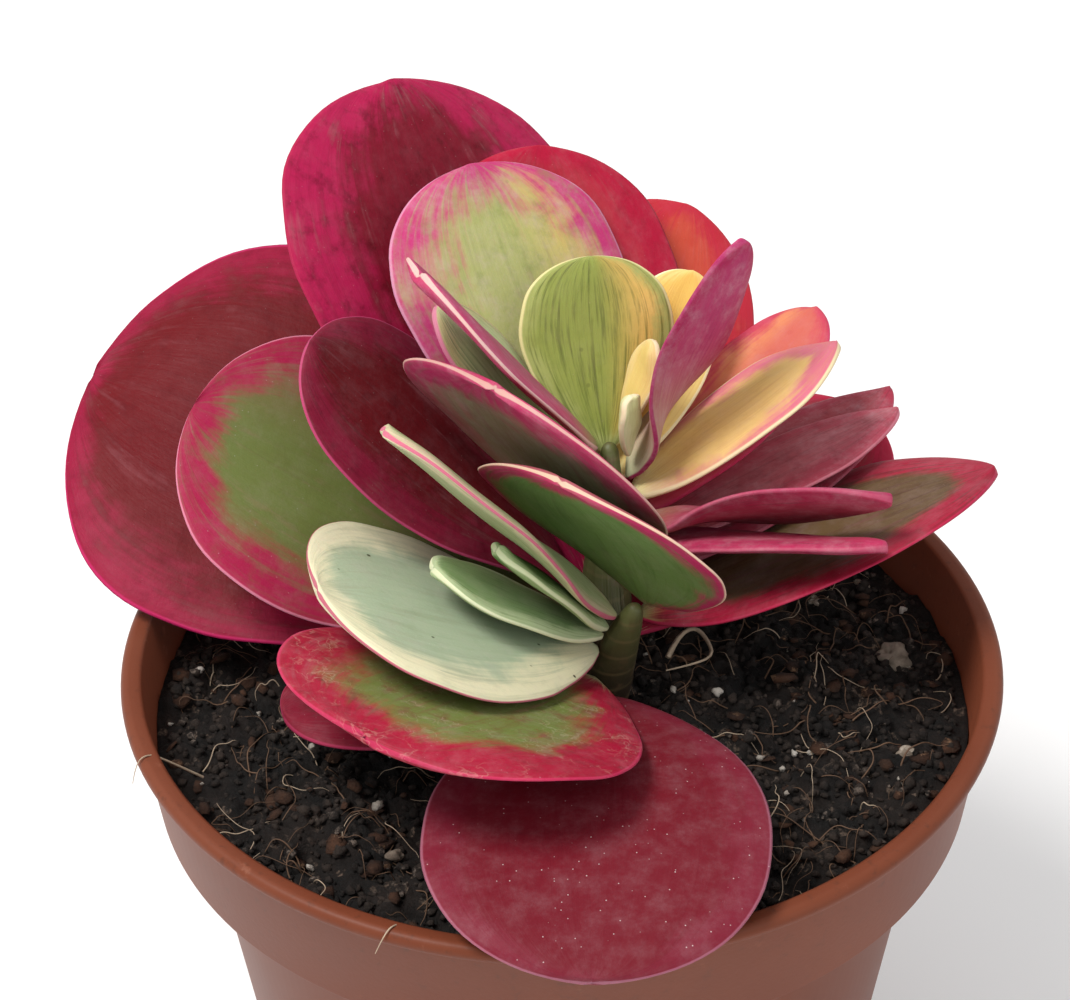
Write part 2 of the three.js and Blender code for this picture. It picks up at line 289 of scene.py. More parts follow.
def scatter(name, count, sizes, flatness, material, sink=0.35, detail=1, spots=None):
    """Many small lumps lying in the soil surface, as one object."""
    whole, handful = bmesh.new(), bmesh.new()
    for i in range(count):
        size = chance.uniform(*sizes) * chance.uniform(0.7, 1.0)
        if spots:
            x, y, size = spots[i]
        else:
            far = LOOSE_REACH * math.sqrt(chance.random())
            turn = chance.uniform(0, 2 * math.pi)
            x, y = far * math.cos(turn), far * math.sin(turn)
        made = bmesh.ops.create_icosphere(handful, subdivisions=detail, radius=0.5)["verts"]
        seed = Vector((chance.uniform(0, 90), chance.uniform(0, 90), 0))
        squash = Vector((1, chance.uniform(0.55, 1), chance.uniform(*flatness)))
        turned = Matrix.Rotation(chance.uniform(0, 2 * math.pi), 3, "Z")
        turned = turned @ Matrix.Rotation(chance.gauss(0, 0.35), 3, "X")
        centre = Vector((x, y, soil_height(x, y) + size * squash.z * (0.5 - sink))) * MM
        for vert in made:
            lumpy = vert.co * (1 + 0.7 * noise.noise(vert.co * 2.3 + seed))
            vert.co = centre + turned @ Vector([a * b * size * MM for a, b in zip(lumpy, squash)])
        # the lumps are made a handful at a time, because making one is slow in a large mesh
        if (i + 1) % HANDFUL == 0 or i == count - 1:
            tipped = bpy.data.meshes.new("handful")
            handful.to_mesh(tipped)
            whole.from_mesh(tipped)
            bpy.data.meshes.remove(tipped)
            handful.clear()
    handful.free()
    made = smooth_object(name, whole, material)
    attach(made, "root")


peat_brown = soil_finish("peat_crumb", "120e0c", "3a302a", "7d7066")
scatter("peat_crumbs", 5600, (0.5, 2.1), (0.5, 0.95), peat_brown)
bark_brown = soil_finish("bark", "2a1a12", "4e3323", "8a6a50")
scatter("bark_chips", 420, (1.2, 4.2), (0.16, 0.4), bark_brown, sink=0.1)
perlite_white = soil_finish("perlite", "8f857a", "cfc8be", "efece6")
scatter("perlite_grains", 90, (0.5, 1.7), (0.6, 1.0), perlite_white, sink=0.2, detail=2)
pebble_stone = soil_finish("pebble", "75685c", "a89a8a", "cfc4b6")
# each pebble's place across the soil and its size
pebbles = [(47, 8, 4.6), (46, -14, 2.6), (44, 24, 2.4), (-22, -33, 2.4), (37, 20, 2.0)]
scatter("pebbles", len(pebbles), (1, 1), (0.55, 0.8), pebble_stone, detail=3, spots=pebbles)

# ---- Fibres and roots -----------------------------------------------------------------------------
# Fine brown fibres of peat and paler hair roots lie in loops over the soil, their ends stuck in it.
# One dried tendril curls beside the stem, and two dead roots hang over the lip of the pot.


def threads(name, paths, thickness, material):
    """Thin threads along lists of points in millimetres, tapering to their tips."""
    curve = bpy.data.curves.new(name, "CURVE")
    curve.dimensions = "3D"
    curve.bevel_depth = 1.0
    curve.bevel_resolution = 0
    curve.resolution_u = 3
    for path, width in paths:
        line = curve.splines.new("NURBS")
        line.points.add(len(path) - 1)
        line.order_u = 3
        line.use_endpoint_u = True
        for i, (point, spot) in enumerate(zip(line.points, path)):
            point.co = (*(Vector(spot) * MM), 1)
            point.radius = width * thickness * MM * (1 - 0.7 * i / (len(path) - 1))
    curve.use_fill_caps = True
    strand = bpy.data.objects.new(name, curve)
    bpy.context.scene.collection.objects.link(strand)
    mesh = bpy.data.meshes.new_from_object(strand.evaluated_get(bpy.context.evaluated_depsgraph_get()))
    bpy.data.objects.remove(strand)
    for face in mesh.polygons:
        face.use_smooth = True
    mesh.materials.clear()
    mesh.materials.append(material)
    made = bpy.data.objects.new(name, mesh)
    bpy.context.scene.collection.objects.link(made)
    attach(made, "root")


def wandering(x, y, length, points, rise):
    """A crooked line that starts in the soil and wanders over it."""
    heading = chance.uniform(0, 2 * math.pi)
    line = []
    step = length / points
    for i in range(points):
        arch = rise * math.sin(math.pi * i / (points - 1))
        buried = 0.6 if i in (0, points - 1) else 0
        line.append((x, y, soil_height(x, y) + arch - buried + 0.15))
        heading += chance.gauss(0, 0.5)
        x, y = x + step * math.cos(heading), y + step * math.sin(heading)
        if math.hypot(x, y) > LOOSE_REACH:
            heading += math.pi
            x, y = x * 0.95, y * 0.95
    return line


def fibre_finish(name, dark, light):
    """Dry root, matt and unevenly stained."""
    material, n, shader = new_finish(name)
    spot = n.place()
    shade = n.noise(spot, 420, 3)
    color = n.mix(shade, paint(dark), paint(light))
    connect(n, shader, color, 0.75, n.noise(spot, 2500, 2), 0.4, 0.0001)
    return material


def sown(count, length, points, rise, width):
    """Wandering threads started anywhere on the soil, each with its own width."""
    paths = []
    for _ in range(count):
        far, turn = 53 * math.sqrt(chance.random()), chance.uniform(0, 2 * math.pi)
        x, y = far * math.cos(turn), far * math.sin(turn)
        long = chance.uniform(*length)
        paths.append((wandering(x, y, long, points, chance.uniform(*rise)), chance.uniform(*width)))
    return paths


brown_fibre = fibre_finish("brown_fibre", "3a281d", "7a5c44")
pale_fibre = fibre_finish("pale_fibre", "8a7460", "c8b59c")
threads("peat_fibres", sown(420, (4, 14), 7, (0.2, 2.2), (0.6, 1.4)), 0.11, brown_fibre)
threads("hair_roots", sown(90, (5, 16), 8, (0.3, 2.6), (0.5, 1.1)), 0.11, pale_fibre)
curl = [
    (15, 6, 87.6), (16.4, 9, 89), (19, 10.5, 89.6), (20.6, 8, 89.2), (21.4, 4.6, 88.8), (18, 3.2, 88.4),
    (14.6, 2.6, 88),
]
threads("dried_tendril", [(curl, 1.0)], 0.45, pale_fibre)
left_root = [
    (-48, -18, 87.6), (-52.6, -20.8, 93.4), (-54.2, -22.3, 95.5), (-55.7, -23.4, 95.0),
    (-56.2, -24.6, 92.4),
]
front_root = [
    (-16.4, -48, 87.4), (-19.8, -52.6, 93.4), (-21.2, -54.6, 95.5), (-22.3, -56.0, 95.0),
    (-23.4, -56.6, 92.6),
]
threads("roots_over_lip", [(left_root, 1.0), (front_root, 1.0)], 0.2, pale_fibre)

# ---- Stem -----------------------------------------------------------------------------------------
# Two short fleshy stems from one crown in the soil, green-brown and corky with faint rings of leaf
# scars. They grew as one piece, so they are one smooth skin.
stem_skin, n, shader = new_finish("stem_skin")
spot = n.place()
up = n.add("ShaderNodeSeparateXYZ", Vector=spot).outputs["Z"]
scar = n.ramp(n.math("SINE", n.math("MULTIPLY", up, 2100)), 0.75, 1.0)
cork = n.noise(spot, 500, 4, 0.6)
color = n.mix(n.ramp(up, 0.088, 0.108), paint("2e2218"), paint("5a5f34"))
color = n.mix(n.math("MULTIPLY", scar, 0.3), color, paint("7a6a48"))
color = n.mix(n.ramp(cork, 0.5, 0.8), color, paint("5d4a33"))
connect(n, shader, color, 0.55, cork, 0.5, 0.0004)
bm = bmesh.new()
bm.from_mesh(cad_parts["branching_stem"].data)
bmesh.ops.remove_doubles(bm, verts=bm.verts, dist=5e-6)
stem = smooth_object("forked_stem", bm, stem_skin)
soften = stem.modifiers.new("fleshy", "SUBSURF")
soften.levels = soften.render_levels = 2
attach(stem, "root")
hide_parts("branching_stem")

# ---- Great red leaves -----------------------------------------------------------------------------
# The oldest leaves: big fleshy paddles 2 mm thick with a rounded margin, each clasping the stem by
# its narrow end. Sun has turned them crimson with a magenta margin, and they are darkly mottled.


STATIONS = 8
AROUND = 8


def leaf_stations(node):
    """The leaf's rings of points from its foot to its tip, in no set order round it, and its tip."""
    bm = bmesh.new()
    bm.from_mesh(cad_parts[node].data)
    bmesh.ops.remove_doubles(bm, verts=bm.verts, dist=5e-6)
    start = next(v for v in bm.verts if len(v.link_edges) == AROUND)
    rings, seen = [[start]], {start}
    while len(seen) < len(bm.verts):
        ring = {e.other_vert(v) for v in rings[-1] for e in v.link_edges} - seen
        seen |= ring
        loop = [min(ring, key=lambda v: tuple(v.co))]
        while len(loop) < len(ring):
            near = [e.other_vert(loop[-1]) for e in loop[-1].link_edges]
            loop.append(min((v for v in near if v in ring and v not in loop), key=lambda v: tuple(v.co)))
        rings.append(loop)
    points = [[v.co.copy() for v in ring] for ring in rings]
    bm.free()
    girths = [sum((a - b).length for a, b in zip(p, p[1:] + p[:1])) for p in points]
    if girths[1] > girths[-2]:
        points.reverse()
    tip = points[-1][0]
    return points[1:-1], tip


def centre_of(ring):
    return sum(ring, Vector()) / AROUND


def aligned(ring, guide):
    """The ring turned, and reversed if need be, so that it runs as its neighbour does."""
    middle, other = centre_of(ring), centre_of(guide)
    choices = [order[i:] + order[:i] for order in (ring, ring[::-1]) for i in range(AROUND)]
    return max(choices, key=lambda c: sum((p - middle).dot(q - other) for p, q in zip(c, guide)))


def leaf_frame(node, leans_back):
    """The leaf's stations with the margins at 0 and 4, and the upper face between them."""
    rings, tip = leaf_stations(node)
    widest = max(range(STATIONS), key=lambda i: max((a - b).length for a in rings[i] for b in rings[i]))
    ring = rings[widest]
    first = max(range(AROUND // 2), key=lambda i: (ring[i] - ring[i + AROUND // 2]).length)
    rings[widest] = ring[first:] + ring[:first]
    for i in range(widest - 1, -1, -1):
        rings[i] = aligned(rings[i], rings[i + 1])
    for i in range(widest + 1, STATIONS):
        rings[i] = aligned(rings[i], rings[i - 1])
    ahead = centre_of(rings[1]) - centre_of(rings[0])
    face = ahead.cross(rings[1][4] - rings[1][0])
    if (rings[1][2] - rings[1][6]).dot(face) < 0:
        rings = [[r[-j] for j in range(AROUND)] for r in rings]
    # the upper face looks up and in, to the middle of the plant, unless the leaf leans back
    level = Vector((ahead.x, ahead.y, 0)).normalized()
    inward = Vector((0, 0, 1)) - level * (-1 if leans_back else 1)
    if face.dot(inward) < 0:
        rings = [r[4:] + r[:4] for r in rings]
    return rings, tip


ACROSS = [-math.cos(math.pi * j / 4) for j in range(5)]


def spread(points, t):
    """The place at t, from -1 to 1, on the smooth line through five points across the leaf."""
    place = Vector()
    for a, point in zip(ACROSS, points):
        weight = 1.0
        for b in ACROSS:
            if b != a:
                weight *= (t - b) / (a - b)
        place += point * weight
    return place


def leaf_surface(rings, tip):
    """The leaf's middle surface: a function that gives its five points across at a station s."""
    rows = [[r[0], (r[1] + r[7]) / 2, (r[2] + r[6]) / 2, (r[3] + r[5]) / 2, r[4]] for r in rings]
    rows = [[a * 2 - b for a, b in zip(rows[0], rows[1])], *rows, [tip] * 5, rows[-1][::-1]]

    def row(s):
        i = min(int(s), STATIONS - 1)
        u = s - i
        a = -0.5 * u**3 + u**2 - 0.5 * u
        b = 1.5 * u**3 - 2.5 * u**2 + 1
        c = -1.5 * u**3 + 2 * u**2 + 0.5 * u
        d = 0.5 * u**3 - 0.5 * u**2
        return [p * a + q * b + r * c + t * d for p, q, r, t in zip(*rows[i : i + 4])]

    return row


# Near its tip the leaf's points close up, so its slopes are taken no further out than this station.
LAST_SLOPE = 7.7
SLOPE_STEP = 0.02
TIP_PLUMPNESS = 0.8
EDGE_DENTS = 0.025


def paddle_mesh(node, seed, leans_back, wave, pointed):
    """The leaf as one closed fleshy sheet with a rounded margin, and what its skin needs to know."""
    rings, tip = leaf_frame(node, leans_back)
    row = leaf_surface(rings, tip)
    plump = [(r[2] - r[6]).length / 2 for r in rings]
    plump.append(plump[-1] * TIP_PLUMPNESS)
    length = sum((centre_of(a) - centre_of(b)).length for a, b in zip(rings, rings[1:]))
    length += (tip - centre_of(rings[-1])).length
    # the grid's first direction runs along the leaf, its second right round it from margin to margin
    bm = bmesh.new()
    bmesh.ops.create_grid(bm, x_segments=48, y_segments=40, size=1)
    along = bm.verts.layers.float.new("leaf_along")
    across = bm.verts.layers.float.new("leaf_across")
    margin = bm.verts.layers.float.new("leaf_margin")
    under = bm.verts.layers.float.new("leaf_under")
    rows = {}
    for vert in bm.verts:
        s = (vert.co.x + 1) * STATIONS / 2
        phi = (vert.co.y + 1) * math.pi
        t = -math.cos(phi)
        upper = phi < math.pi
        key = round(s, 4)
        if key not in rows:
            firm = row(min(s, LAST_SLOPE))
            ahead = row(min(s, LAST_SLOPE) + SLOPE_STEP)
            rows[key] = row(s), firm, [b - a for a, b in zip(firm, ahead)]
        here, firm, slope = rows[key]
        half = (here[4] - here[0]).length / 2
        edge = min((1 - abs(t)) * half, max(0.0, (1 - s / STATIONS) * length * 0.9))
        dent = noise.noise(Vector((s * 1.1, math.copysign(2.0, t), seed)))
        ragged = 1 + EDGE_DENTS * dent * min(1, s / 3) * t * t
        point = spread(here, t * ragged * (1 - pointed * (s / STATIONS) ** 2.5))
        far = min(t + SLOPE_STEP, 1)
        side = spread(firm, far) - spread(firm, far - 2 * SLOPE_STEP)
        normal = spread(slope, t).cross(side).normalized()
        i = min(int(s), STATIONS - 1)
        full = plump[i] + (plump[i + 1] - plump[i]) * (s - i)
        share = 1 - min(1.0, edge / max(0.9 * half, 2.2 * full, 1e-6))
        lift = full * math.sqrt(max(0.0, 1 - share * share))
        ripple = noise.noise(Vector((s * 0.55, t * 1.3, seed + 5))) * wave * MM * min(1, s / 4)
        vert[along] = s / STATIONS
        vert[across] = t
        vert[margin] = edge / MM
        vert[under] = 0.0 if upper else 1.0
        vert.co = point + normal * (ripple + (lift if upper else -lift))
    bmesh.ops.remove_doubles(bm, verts=bm.verts, dist=2e-6)
    bmesh.ops.holes_fill(bm, edges=[e for e in bm.edges if e.is_boundary], sides=0)
    bmesh.ops.recalc_face_normals(bm, faces=bm.faces)
    return bm


BLOTCH_PINK = (0.75, 0.3, 0.34, 1)
WAX_BLOOM = (0.62, 0.44, 0.48, 1)
WAX_GRAIN = (0.85, 0.72, 0.7, 1)
SPECK_BLACK = (0.05, 0.05, 0.02, 1)
CREASE_CREAM = (0.8, 0.66, 0.5, 1)


def make_leaf_skin():
    """Colour, roughness and relief of a paddle leaf, from the four things that its mesh records."""
    group = bpy.data.node_groups.new("leaf_skin", "ShaderNodeTree")
    colors = ("Core", "Blush", "Rim", "Under", "Under Blush", "Foot", "Side", "Dark")
    numbers = (
        "Reach", "Softness", "Tip Reach", "Rim Width", "Foot Reach", "Sideways", "Mottle", "Streak",
        "Bloom", "Fleck", "Specks", "Crinkle", "Seed",
    )
    sockets = (
        ("INPUT", "NodeSocketColor", colors),
        ("INPUT", "NodeSocketFloat", numbers),
        ("OUTPUT", "NodeSocketColor", ("Color",)),
        ("OUTPUT", "NodeSocketFloat", ("Roughness", "Height")),
    )
    for way, kind, names in sockets:
        for name in names:
            group.interface.new_socket(name, in_out=way, socket_type=kind)
    n = Nodes(group)
    given = group.nodes.new("NodeGroupInput").outputs
    result = group.nodes.new("NodeGroupOutput")

    def recorded(name):
        return n.add("ShaderNodeAttribute", attribute_name=name).outputs["Fac"]

    along, across, margin = recorded("leaf_along"), recorded("leaf_across"), recorded("leaf_margin")
    under = recorded("leaf_under")
    spot = n.place()
    blot = n.noise(spot, 110, 5, 0.6, 0.4)
    smear = n.noise(spot, 330, 5, 0.65)
    fine = n.noise(spot, 1500, 4, 0.6)
    lane = n.add(
        "ShaderNodeCombineXYZ", X=n.math("MULTIPLY", across, 7.0), Y=n.math("MULTIPLY", along, 1.6),
        Z=n.math("ADD", given["Seed"], n.math("MULTIPLY", under, 3.0)),
    ).outputs[0]
    streak = n.noise(lane, 2.6, 4, 0.6, 0.25)
    # the blush runs in from the margin, further at the tip, with a blotchy front
    wander = n.math("SUBTRACT", n.math("ADD", blot, n.math("MULTIPLY", streak, 0.5)), 0.75)
    wander = n.math("MULTIPLY", wander, 2.2)
    front = n.math("ADD", margin, n.math("MULTIPLY", wander, given["Softness"]))
    tipward = n.math("MULTIPLY", n.math("POWER", along, 3.0), given["Tip Reach"])
    front = n.math("SUBTRACT", front, tipward)
    spill = n.math("MULTIPLY", given["Softness"], 0.5)
    low, high = n.math("SUBTRACT", given["Reach"], spill), n.math("ADD", given["Reach"], spill)
    inner = n.ramp(front, low, high)
    # one side across the leaf turns to the Side colour; on the crown leaves this is painted light, a yellow
    # glow where light comes through the leaf
    side_glow_and_tone = n.ramp(n.math("MULTIPLY", across, given["Sideways"]), 0.0, 1.0)
    core = n.mix(side_glow_and_tone, given["Core"], given["Side"])
    upper = n.mix(inner, given["Blush"], core)
    lower = n.mix(inner, given["Under Blush"], given["Under"])
    color = n.mix(under, upper, lower)
    color = n.mix(n.math("MULTIPLY", n.ramp(streak, 0.45, 0.72), given["Streak"]), color, given["Dark"])
    color = n.mix(n.math("MULTIPLY", n.ramp(smear, 0.48, 0.75), given["Mottle"]), color, given["Dark"])
    pale = n.math("MULTIPLY", n.ramp(n.math("MULTIPLY", blot, streak), 0.27, 0.42), given["Mottle"])
    color = n.mix(n.math("MULTIPLY", pale, 0.22), color, BLOTCH_PINK)
    # the narrow end keeps the colour of the stem, and the margin has a fine line of its own
    uneven = n.math("MULTIPLY", n.math("SUBTRACT", streak, 0.5), 0.25)
    foot = n.ramp(n.math("ADD", along, uneven), 0.0, given["Foot Reach"])
    color = n.mix(foot, given["Foot"], color)
    inside = n.ramp(margin, n.math("MULTIPLY", given["Rim Width"], 0.4), given["Rim Width"])
    color = n.mix(n.math("SUBTRACT", 1.0, inside), color, given["Rim"])
    # a wax bloom, its loose white grains, and small dark specks
    waxy = n.math("MULTIPLY", n.ramp(n.noise(spot, 260, 6, 0.75), 0.38, 0.85), given["Bloom"])
    color = n.mix(waxy, color, WAX_BLOOM)
    grains = n.add("ShaderNodeTexVoronoi", Vector=spot, Scale=1300.0).outputs
    chosen = n.ramp(n.add("ShaderNodeSeparateColor", Color=grains["Color"]).outputs[0], 0.8, 0.82)
    dot = n.math("MULTIPLY", chosen, n.ramp(grains["Distance"], 0.05, 0.16, 1.0, 0.0))
    color = n.mix(n.math("MULTIPLY", dot, given["Fleck"]), color, WAX_GRAIN)
    motes = n.add("ShaderNodeTexVoronoi", Vector=spot, Scale=420.0).outputs
    picked = n.ramp(n.add("ShaderNodeSeparateColor", Color=motes["Color"]).outputs[1], 0.9, 0.92)
    mote = n.math("MULTIPLY", picked, n.ramp(motes["Distance"], 0.08, 0.16, 1.0, 0.0))
    color = n.mix(n.math("MULTIPLY", mote, given["Specks"]), color, SPECK_BLACK)
    # fine crooked creases, sunk and pale
    warp = n.add("ShaderNodeTexNoise", Vector=spot, Scale=420.0).outputs["Color"]
    shifted = n.add("ShaderNodeVectorMath", operation="SCALE", Vector=warp, Scale=0.006).outputs[0]
    wrinkled = n.add("ShaderNodeVectorMath", operation="ADD", Vector=spot)
    n.feed(wrinkled.inputs[1], shifted)
    cells = n.add(
        "ShaderNodeTexVoronoi", feature="DISTANCE_TO_EDGE", Vector=wrinkled.outputs[0], Scale=330.0,
    )
    crease = cells.outputs["Distance"]
    vein = n.math("MULTIPLY", n.ramp(crease, 0.0, 0.07, 1.0, 0.0), n.ramp(blot, 0.45, 0.62))
    color = n.mix(n.math("MULTIPLY", vein, given["Crinkle"]), color, CREASE_CREAM)
    n.feed(result.inputs["Color"], color)
    rough = n.math("ADD", 0.36, n.math("MULTIPLY", smear, 0.2))
    rough = n.math("ADD", rough, n.math("MULTIPLY", given["Bloom"], 0.35))
    n.feed(result.inputs["Roughness"], rough)
    relief = n.math("ADD", n.math("MULTIPLY", fine, 0.5), n.math("MULTIPLY", streak, 0.9))
    relief = n.math("ADD", relief, n.math("MULTIPLY", dot, 0.3))
    furrow = n.math("MULTIPLY", vein, n.math("MULTIPLY", given["Crinkle"], 1.5))
    n.feed(result.inputs["Height"], n.math("SUBTRACT", relief, furrow))
    return group


leaf_skin = make_leaf_skin()
RIM_FINENESS = 0.6


def paddle_leaf(
    node, core, blush, rim, under=None, under_blush=None, foot="b9bd8c", side=None, dark="4a0d16",
    reach=5.0, softness=6.0, tip_reach=0.0, rim_width=0.7, foot_reach=0.06, sideways=0.0, mottle=0.3,
    streak=0.2, bloom=0.06, fleck=0.08, specks=0.0, crinkle=0.0, gloss=0.09, leans_back=False, wave=0.5,
    pointed=0.0,
):
    """One leaf of the plant: its mesh from its place in the model, and its own colouring."""
    # a number of the leaf's own, so that no two leaves are patterned or rippled alike
    seed = sum(map(ord, node)) % 97 + 0.37
    material, n, shader = new_finish(node + "_skin")
    skin = n.tree.nodes.new("ShaderNodeGroup")
    skin.node_tree = leaf_skin
    chosen = {
        "Core": core, "Blush": blush, "Rim": rim, "Under": under or core,
        "Under Blush": under_blush or blush, "Foot": foot, "Side": side or core, "Dark": dark,
    }
    for key, value in chosen.items():
        skin.inputs[key].default_value = paint(value)
    amounts = {
        "Reach": reach, "Softness": softness, "Tip Reach": tip_reach, "Rim Width": rim_width * RIM_FINENESS,
        "Foot Reach": foot_reach, "Sideways": sideways, "Mottle": mottle, "Streak": streak, "Bloom": bloom,
        "Fleck": fleck, "Specks": specks, "Crinkle": crinkle, "Seed": seed,
    }
    for key, value in amounts.items():
        skin.inputs[key].default_value = value
    out = skin.outputs
    connect(n, shader, out["Color"], out["Roughness"], out["Height"], 0.35, 0.0003)
    shader.inputs["Specular IOR Level"].default_value = gloss
    shader.inputs["Subsurface Weight"].default_value = 0.06
    shader.inputs["Subsurface Radius"].default_value = (0.004, 0.0016, 0.001)
    shader.inputs["Subsurface Scale"].default_value = 0.5
    made = smooth_object(
        node.replace("_leaf", "_paddle"), paddle_mesh(node, seed, leans_back, wave, pointed), material
    )
    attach(made, "root")
    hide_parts(node)


paddle_leaf(
    "left_great_leaf", core="640c14", blush="8c1436", rim="b4245a", under="8d2038", dark="4a0810",
    reach=5, softness=9, tip_reach=4, rim_width=1.2, mottle=0.3, streak=0.25, bloom=0.02, fleck=0.06,
    wave=1.0,
)
paddle_leaf(
    "rear_great_leaf", core="761326", blush="a81c4a", rim="a52048", dark="47080f", reach=9, softness=10,
    tip_reach=3, rim_width=0.8, mottle=0.6, streak=0.25, bloom=0.04, wave=0.9,
)
paddle_leaf(
    "rear_red_leaf", core="a42838", blush="ac1838", rim="8c1228", dark="7a1424", reach=7, softness=6,
    rim_width=0.7, mottle=0.3, streak=0.2, bloom=0.1, side="c24650", sideways=-0.8,
)
paddle_leaf(
    "rear_orange_leaf", core="c04c3a", blush="b82a3c", rim="b8243c", dark="b03428", reach=6, softness=8,
    tip_reach=2, mottle=0.35, streak=0.2, bloom=0.04,
)
paddle_leaf(
    "left_dark_leaf", core="5c141a", blush="781a32", rim="b04068", dark="33090d", reach=5, softness=6,
    rim_width=0.7, mottle=0.4, streak=0.3, bloom=0.06,
)
paddle_leaf("back_right_leaf", core="8a2430", blush="a8203e", rim="b83054", mottle=0.4)
paddle_leaf("back_low_leaf", core="8a2430", blush="a8203e", rim="b83054", mottle=0.4)
paddle_leaf("back_left_leaf", core="7c1a26", blush="9c1c3a", rim="b02a50", mottle=0.4)
paddle_leaf("low_dark_leaf", core="541a1e", blush="78182c", rim="a03050", reach=7, softness=5, mottle=0.3)

# ---- Green-centred leaves -------------------------------------------------------------------------
# Broad younger paddles whose middle is still green, with a crimson or cream margin that bleeds inwards
# in blotches. The front one is finely crinkled, and the cream one is specked with dark dots.
paddle_leaf(
    "left_green_leaf", core="626c38", blush="9a1a42", rim="cc7890", under="8c5a58", side="7c5044",
    dark="5a5a30", reach=6.0, softness=8, tip_reach=6, rim_width=0.7, foot_reach=0.2, sideways=-0.9,
    mottle=0.3, streak=0.35, bloom=0.08, fleck=0.15, specks=0.5, gloss=0.16, wave=0.8,
)
paddle_leaf(
    "front_red_leaf", core="6c783e", blush="9e1634", rim="b82850", under="8a2438", dark="6a2024",
    reach=8, softness=8, tip_reach=7, rim_width=1.0, foot_reach=0.15, mottle=0.55, streak=0.3,
    bloom=0.12, fleck=0.15, specks=0.4, crinkle=0.14, gloss=0.16, wave=0.9,
)
paddle_leaf(
    "cream_leaf", core="a6b498", blush="dcd6b4", rim="b86070", under="b4b890", dark="7d9070", reach=6.0,
    softness=6, tip_reach=3, rim_width=0.5, foot_reach=0.1, foot="c8d0a8", mottle=0.2, streak=0.3,
    bloom=0.15, fleck=0.2, specks=1.0, gloss=0.16, wave=0.5,
)
paddle_leaf(
    "front_dusty_leaf", core="6a1824", blush="732030", rim="98586a", under="7a3038", dark="5c1824",
    reach=4, softness=6, rim_width=0.8, mottle=0.1, streak=0.12, bloom=0.1, fleck=0.55, gloss=0.1,
    wave=1.0,
)

# ---- Crown leaves ---------------------------------------------------------------------------------
# The upright leaves at the top of the rear stem: pale green to cream with pink margins, and a painted
# yellow glow on one side where the light comes through.
paddle_leaf(
    "upper_pale_leaf", core="a8ab6c", blush="bc3470", rim="cc80a0", side="d0b868", dark="7c8848",
    reach=5.5, softness=12, tip_reach=5, rim_width=0.8, foot_reach=0.3, foot="c4cc98", sideways=-1.2,
    mottle=0.45, streak=0.35, bloom=0.35, specks=0.2, gloss=0.16,
)
paddle_leaf(
    "upper_streaked_leaf", core="8e9a4a", blush="a0a860", rim="d8cf94", side="dcb865", dark="55632a",
    reach=2, softness=3, rim_width=0.9, foot_reach=0.2, foot="b8c480", sideways=-1.3, mottle=0.15,
    streak=0.8, bloom=0.05, specks=0.3, gloss=0.16,
)
paddle_leaf(
    "upper_small_leaf", core="a4b080", blush="b0a878", rim="c87890", dark="5f7440", foot="b8c090",
    reach=1.5, softness=3, rim_width=0.8, foot_reach=0.2, mottle=0.15, streak=0.7, bloom=0.2,
    gloss=0.16,
)
paddle_leaf(
    "upright_pink_leaf", core="b0446c", blush="b8306a", rim="a02c5c", under="b03c66",
    under_blush="a42652", foot="c4c8a0", dark="8a2450", reach=3, softness=5, foot_reach=0.55,
    mottle=0.3, streak=0.4, bloom=0.4, pointed=0.7,
)
paddle_leaf(
    "upright_yellow_leaf", core="e6bc62", blush="e8cc80", rim="f2e6bc", dark="c88a40", reach=2,
    softness=2, rim_width=0.8, foot_reach=0.2, foot="e8dca0", mottle=0.15, streak=0.3, bloom=0.05,
)
paddle_leaf(
    "small_yellow_leaf", core="e2c878", blush="e8d090", rim="f2e6bc", dark="c8a050", reach=1,
    softness=2, rim_width=0.5, mottle=0.1, streak=0.2,
)
paddle_leaf(
    "upper_sliver_leaf", core="c8cc90", blush="d8d8a8", rim="ecdcb8", dark="98a058", reach=1,
    softness=2, rim_width=0.4, mottle=0.1, streak=0.2,
)
paddle_leaf(
    "hidden_pink_leaf", core="c46456", blush="c04058", rim="c43860", side="e0a060", sideways=1.0,
    dark="b04048", reach=3, softness=4, mottle=0.3, bloom=0.15, pointed=0.3,
)
paddle_leaf(
    "golden_leaf", core="e0be78", blush="cc6e80", rim="e4d2a8", under="dcb878", dark="c49a58",
    foot="e4dca4", reach=0.5, softness=4, tip_reach=14, rim_width=1.0, foot_reach=0.3, mottle=0.25,
    streak=0.4, bloom=0.15, pointed=0.7,
)
paddle_leaf(
    "fold_outer_leaf", core="a4705a", blush="bc2c62", rim="c89a90", under="948a70",
    under_blush="b02c5c", foot="8e9468", dark="7a4a48", reach=7, softness=10, tip_reach=10,
    rim_width=0.7, foot_reach=0.7, mottle=0.3, streak=0.5, bloom=0.3, gloss=0.16, pointed=0.25,
)
paddle_leaf(
    "fold_inner_leaf", core="a04a64", blush="b03a66", rim="d8b0a8", under="a87878",
    under_blush="b83c64", foot="8c9460", dark="7a3040", reach=5, softness=6, tip_reach=6, rim_width=0.6,
    foot_reach=0.4, mottle=0.3, streak=0.4, bloom=0.3,
)

